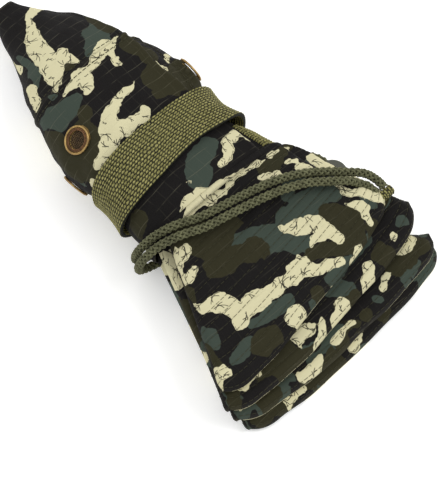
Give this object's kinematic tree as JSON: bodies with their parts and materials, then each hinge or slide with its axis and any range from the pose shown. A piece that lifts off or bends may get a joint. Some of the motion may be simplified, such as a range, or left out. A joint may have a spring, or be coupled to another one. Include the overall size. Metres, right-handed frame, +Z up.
{
  "type": "folded boonie hat",
  "caption": "Camouflage ripstop sun hat folded into a cone, its brim stacked in leaves, tied with its own braided chin cord and cord lock.",
  "frame": {"origin": "middle of the underside's bounding box, on the surface the hat lies on", "axes": "+X from the crown's tip to the brim's rim, +Y across the brim's fan, +Z up"},
  "size_m": [0.2521, 0.1386, 0.0567],
  "materials": {
    "crown_cloth": "camouflage ripstop cotton",
    "brim_cloth": "camouflage ripstop cotton, quilted in rows",
    "lining": "plain dark lining",
    "webbing": "olive woven webbing",
    "cord": "braided olive-grey cord",
    "eyelet_brass": "aged copper tone",
    "eyelet_gauze": "dark woven gauze",
    "lock_plastic": "moulded, satin",
    "spring_steel": "bright wire"
  },
  "bodies": {
    "hat": {"crown_top_panel": "crown_cloth", "crown_wall_upper": "crown_cloth", "crown_wall_lower": "crown_cloth", "crown_pleat_upper": "lining", "crown_pleat_lower": "lining", "sweatband": "lining", "webbing_band": "webbing", "webbing_tail": "webbing", "band_bartacks": "webbing", "cord_anchor_tab": "webbing", "eyelet_1_ring": "eyelet_brass", "eyelet_1_washer": "eyelet_brass", "eyelet_1_gauze": "eyelet_gauze", "eyelet_2_ring": "eyelet_brass", "eyelet_2_washer": "eyelet_brass", "eyelet_2_gauze": "eyelet_gauze", "eyelet_3_ring": "eyelet_brass", "eyelet_3_washer": "eyelet_brass", "eyelet_3_gauze": "eyelet_gauze", "eyelet_4_ring": "eyelet_brass", "eyelet_4_washer": "eyelet_brass", "eyelet_4_gauze": "eyelet_gauze", "brim_leaf_1_root": "brim_cloth", "brim_leaf_2_root": "brim_cloth", "brim_leaf_3": "brim_cloth", "brim_leaf_4": "brim_cloth", "cord_strand_a": "cord", "cord_strand_b": "cord", "cord_knot": "cord"},
    "leaf_top": {"brim_leaf_1_flap": "brim_cloth"},
    "leaf_middle": {"brim_leaf_2_flap": "brim_cloth"},
    "lock": {"lock_body": "lock_plastic", "lock_spring": "spring_steel"},
    "button": {"lock_button": "lock_plastic"}
  },
  "joints": [
    {"name": "brim_top_lift", "type": "hinge", "parent": "hat", "child": "leaf_top", "pos_m": [0.0608, 0.0064, 0.04107], "axis": [-0.38, -0.9218, 0.077], "range_deg": [0, 20]},
    {"name": "brim_middle_lift", "type": "hinge", "parent": "hat", "child": "leaf_middle", "pos_m": [0.0608, 0.0064, 0.03173], "axis": [-0.3802, -0.9222, 0.0703], "range_deg": [0, 10]},
    {"name": "cord_lock_slide", "type": "slide", "parent": "hat", "child": "lock", "axis": [1, 0, 0], "range_m": [0, 0.008]},
    {"name": "lock_button_press", "type": "slide", "parent": "lock", "child": "button", "axis": [0, 0, -1], "range_m": [0, 0.002], "stiffness_N_per_m": 600, "deforming": ["lock_spring"]}
  ],
  "couplings": [
    {"joint": "brim_middle_lift", "follows": "brim_top_lift", "ratio": 0.5}
  ]
}
